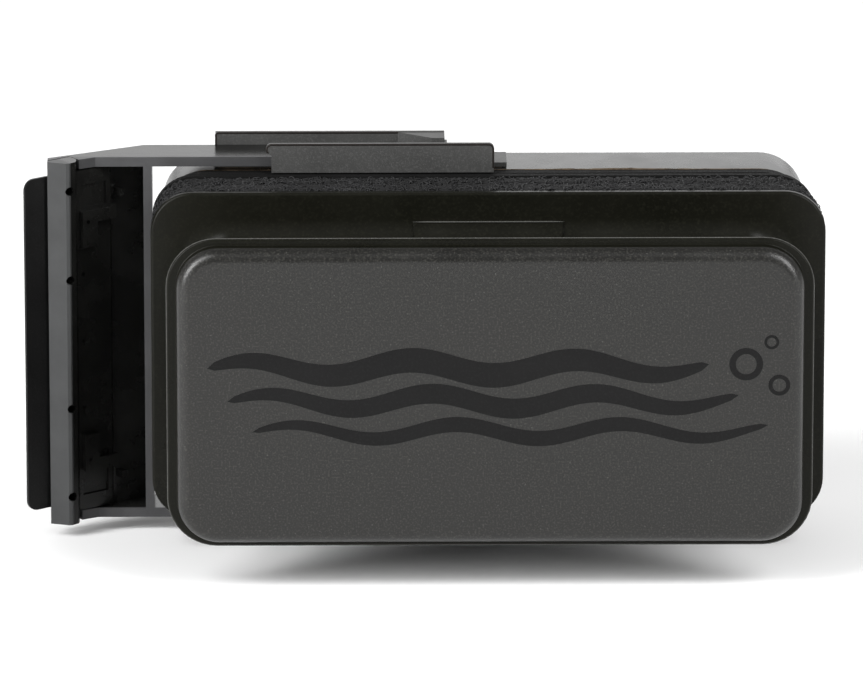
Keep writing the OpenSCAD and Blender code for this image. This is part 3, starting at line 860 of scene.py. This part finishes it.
def rim_surface(node, radius, inset):
    """Random places on a pad's rim, at that depth under its outline."""
    centre, half = mean_and_half(node)
    path = np.array(fine_ring(0, half.x - inset, half.z - inset, radius - inset, centre.x, 130, 60, 14))
    before = np.roll(path, 1, 0)
    length = np.linalg.norm(path - before, axis=1)
    spread = half.y - 0.35 * MM

    def on_rim(rng, count):
        picked = rng.choice(len(path), count, p=length / length.sum())
        along = unit(path[picked] - before[picked])
        out = np.stack([along[:, 2], 0 * along[:, 1], -along[:, 0]], -1)
        origin = before[picked] + rng.random((count, 1)) * (path[picked] - before[picked])
        origin[:, 1] = centre.y + rng.uniform(-spread, spread, count)
        return origin, out, along

    return on_rim


def face_surface(node, depth, out_y):
    """Random places on a pad's flat face."""
    centre, half = mean_and_half(node)
    margin = 2.2 * MM

    def on_face(rng, count):
        spread = rng.uniform(-1, 1, (count, 2)) * (half.x - margin, half.z - margin)
        origin = np.stack([centre.x + spread[:, 0], np.full(count, depth), spread[:, 1]], -1)
        return origin, np.tile((0.0, out_y, 0.0), (count, 1)), np.tile((1.0, 0.0, 0.0), (count, 1))

    return on_face


def make_pads():
    """Felt and scrub pads: matted bodies with curly fibres round their rims and on the scrubbing face."""
    pad_body("felt_body", "felt_pad", "dry_half", "felt", PAD_R, 1, FELT)
    pad_body("scrub_body", "scrub_pad", "wet_half", "scrub", PAD_R, -1, SCRUB)
    clear, buried = 0.2 * MM, 0.62 * MM
    felt_back, scrub_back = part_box("felt_pad")[0].y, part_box("scrub_pad")[1].y
    add_curls("felt_rim_curls", "dry_half", "felt", 11, rim_surface("felt_pad", PAD_R, buried),
              felt_back, -clear, 3300)
    add_curls("scrub_rim_curls", "wet_half", "scrub", 12, rim_surface("scrub_pad", PAD_R, buried),
              clear, scrub_back + clear, 2500)
    add_curls("scrub_face_curls", "wet_half", "scrub", 13, face_surface("scrub_pad", 0.6 * MM, -1),
              clear, scrub_back, 4000)


make_pads()


# ---------------------------------------------------------------- carried-over parts

# Finish, slot, and how far the edges are rounded in millimetres
CARRIED = {
    "dry_base_plate": (CLIP_GREY, "clip_grey", 0),
    "dry_magnet_left": (MAGNET, "magnet", 0.4),
    "dry_magnet_right": (MAGNET, "magnet", 0.4),
    "dry_magnet_cradle": (CLIP_GREY, "clip_grey", 0),
    "dry_keeper_plate": (STEEL, "steel", 0),
    "dry_spacer_foam": (FOAM, "foam", 0),
    "felt_adhesive": (BACKING, "adhesive", 0),
    "wet_base_plate": (BACKING, "wet_black", 0.25),
    "wet_magnet_left": (MAGNET, "magnet", 0.4),
    "wet_magnet_right": (MAGNET, "magnet", 0.4),
    "wet_keeper_plate": (STEEL, "steel", 0),
    "wet_float_foam": (FOAM, "foam", 0),
    "scrub_backing": (BACKING, "backing", 0.3),
    "upper_side_clip": (CLIP_GREY, "clip_grey", 0.25),
    "lower_side_clip": (CLIP_GREY, "clip_grey", 0.25),
    "clip_adhesive": (GLUE, "adhesive", 0),
    "scraper_frame": (SCRAPER_GREY, "scraper_grey", 0.15),
    "blade_clamp": (BAR_GREY, "clamp_black", 0.12),
    "upper_snap_arm": (BAR_GREY, "clamp_black", 0.1),
    "lower_snap_arm": (BAR_GREY, "clamp_black", 0.1),
    "blade": (BLADE_BLACK, "blade_black", 0.1),
}


def dress_carried_parts():
    """Materials and softened edges for the nodes that keep their own mesh."""
    for node, (finish, slot, edge) in CARRIED.items():
        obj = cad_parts[node]
        paint(obj, finish)
        if edge:
            soften_edges(obj, edge * MM)


dress_carried_parts()
